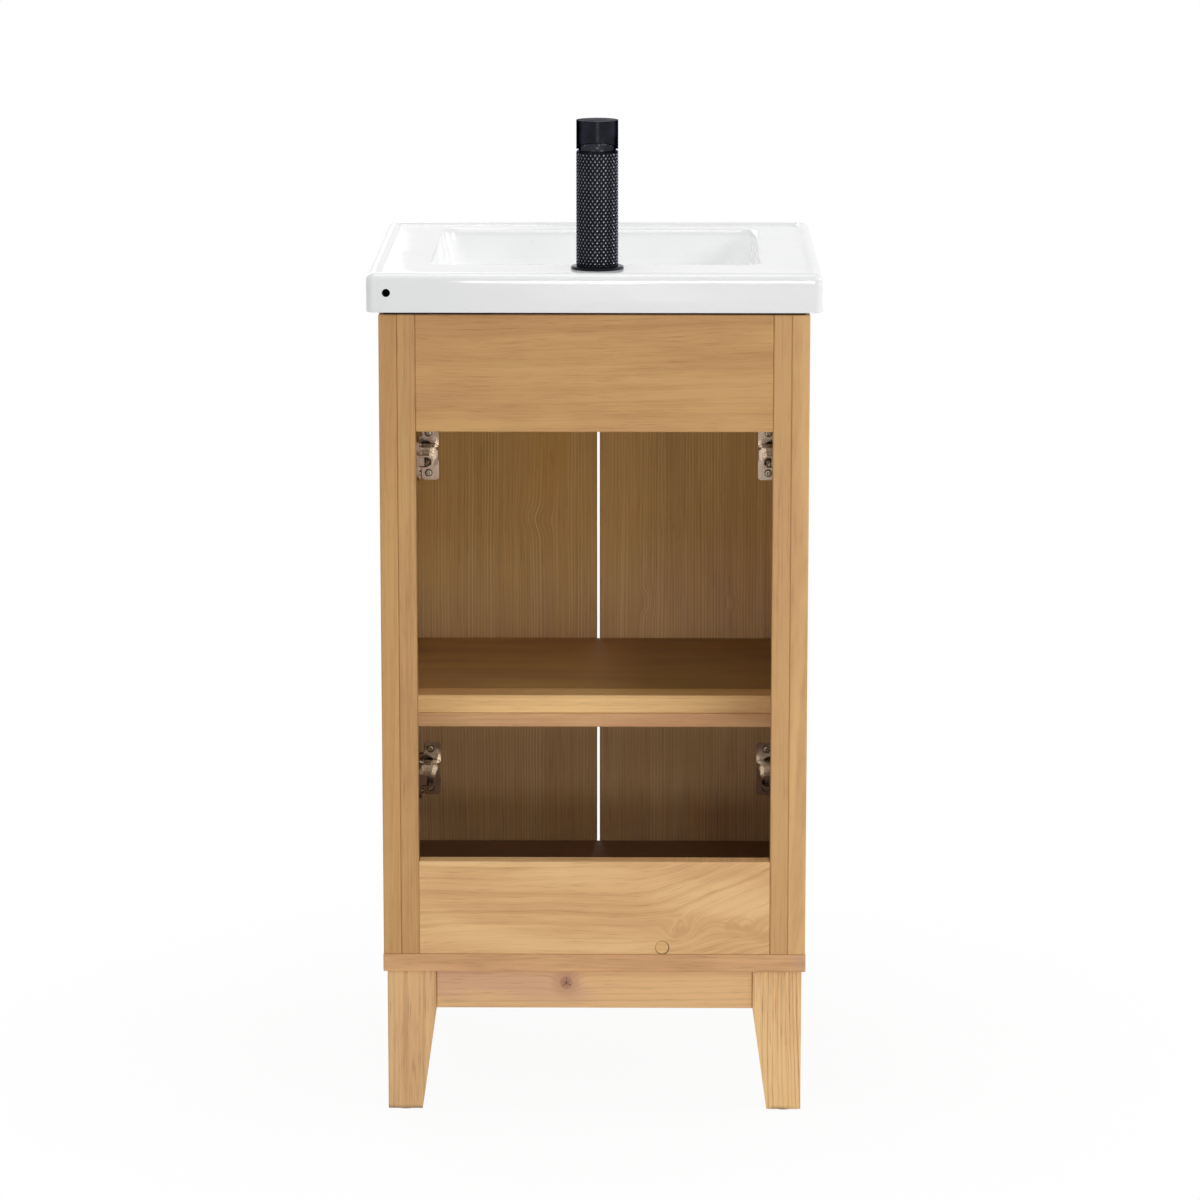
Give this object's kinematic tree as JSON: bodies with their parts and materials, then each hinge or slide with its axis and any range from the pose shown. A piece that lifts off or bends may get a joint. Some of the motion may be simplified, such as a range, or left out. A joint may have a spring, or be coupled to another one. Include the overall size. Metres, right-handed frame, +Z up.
{
  "type": "sink base cabinet",
  "caption": "Small wooden sink base cabinet on tapered legs: ceramic basin top, single tap, two hinged doors, one shelf and an open back.",
  "frame": {"origin": "middle of the footprint, on the floor", "axes": "+Z up, the doors face -Y, the open back and the wall side face +Y, +X is the left side seen from behind"},
  "size_m": [0.4646, 0.457, 1.0368],
  "materials": {
    "wood": "honey stain under a thin satin lacquer",
    "lipping_wood": "honey stain under a thin satin lacquer, a little paler",
    "pink_wood": "honey stain, a little redder",
    "plug_wood": "end grain, stained, sanded flush",
    "white_ceramic": "white gloss glaze",
    "black_metal": "fine satin black plating",
    "dark_chrome": "polished dark plating",
    "nickel_steel": "nickel-plated pressed steel",
    "fitting_steel": "plain turned steel",
    "aerator_metal": "bright plated mesh and ring",
    "valve_plastic": "moulded plastic",
    "dark_sealant": "dark soft sealing strip",
    "glide_plastic": "hard moulded plastic",
    "bumper_plastic": "clear soft bumper"
  },
  "bodies": {
    "root": {"side_panel_left": "wood", "side_panel_right": "wood", "back_post_left": "wood", "back_post_right": "wood", "back_top_rail": "wood", "back_low_rail": "wood", "rail_plug": "plug_wood", "base_board": "wood", "floor_board": "wood", "shelf_board": "wood", "shelf_lipping": "lipping_wood", "shelf_rail": "pink_wood", "shelf_cleats": "wood", "front_rail": "wood", "front_panel": "wood", "corner_blocks": "wood", "leg_back_left": "wood", "leg_back_right": "wood", "leg_front_left": "wood", "leg_front_right": "wood", "apron_back": "wood", "apron_front": "wood", "apron_left": "wood", "apron_right": "wood", "leg_bolts": "nickel_steel", "foot_glides": "glide_plastic", "sink_seal": "dark_sealant", "sink_top": "white_ceramic", "drain_flange": "black_metal", "drain_gasket": "dark_sealant", "drain_nut": "fitting_steel", "drain_body": "black_metal", "tap_ring": "black_metal", "tap_body": "black_metal", "tap_cartridge": "valve_plastic", "tap_spout": "black_metal", "tap_aerator": "aerator_metal", "tap_stud": "fitting_steel", "stud_washer": "fitting_steel", "stud_nut": "fitting_steel", "door_bumpers": "bumper_plastic", "hinge_arms_left": "nickel_steel", "hinge_arms_right": "nickel_steel", "hinge_plates": "nickel_steel", "hinge_screws": "nickel_steel"},
    "door_left": {"door_left": "wood", "knob_left": "black_metal", "door_screws_left": "nickel_steel", "hinge_cups_left": "nickel_steel", "hinge_pins_left": "nickel_steel"},
    "door_right": {"door_right": "wood", "knob_right": "black_metal", "door_screws_right": "nickel_steel", "hinge_cups_right": "nickel_steel", "hinge_pins_right": "nickel_steel"},
    "tap_turn": {"tap_dome": "dark_chrome"},
    "tap_handle": {"tap_cap": "black_metal", "tap_lever": "black_metal", "tilt_pin": "nickel_steel"},
    "stopper": {"drain_stopper": "black_metal"}
  },
  "joints": [
    {"name": "door_left_swing", "type": "hinge", "parent": "root", "child": "door_left", "pos_m": [0.2102, -0.196, 0.45225], "axis": [0, 0, 1], "range_deg": [0, 100]},
    {"name": "door_right_swing", "type": "hinge", "parent": "root", "child": "door_right", "pos_m": [-0.2102, -0.196, 0.45225], "axis": [0, 0, -1], "range_deg": [0, 100]},
    {"name": "tap_swivel", "type": "hinge", "parent": "root", "child": "tap_turn", "pos_m": [-0.0025, 0.1655, 1.0098], "axis": [0, 0, 1], "range_deg": [-45, 45]},
    {"name": "tap_tilt", "type": "hinge", "parent": "tap_turn", "child": "tap_handle", "pos_m": [-0.0025, 0.1655, 1.0098], "axis": [-1, 0, 0], "range_deg": [0, 20]},
    {"name": "stopper_lift", "type": "slide", "parent": "root", "child": "stopper", "axis": [0, 0, 1], "range_m": [0, 0.008]}
  ]
}
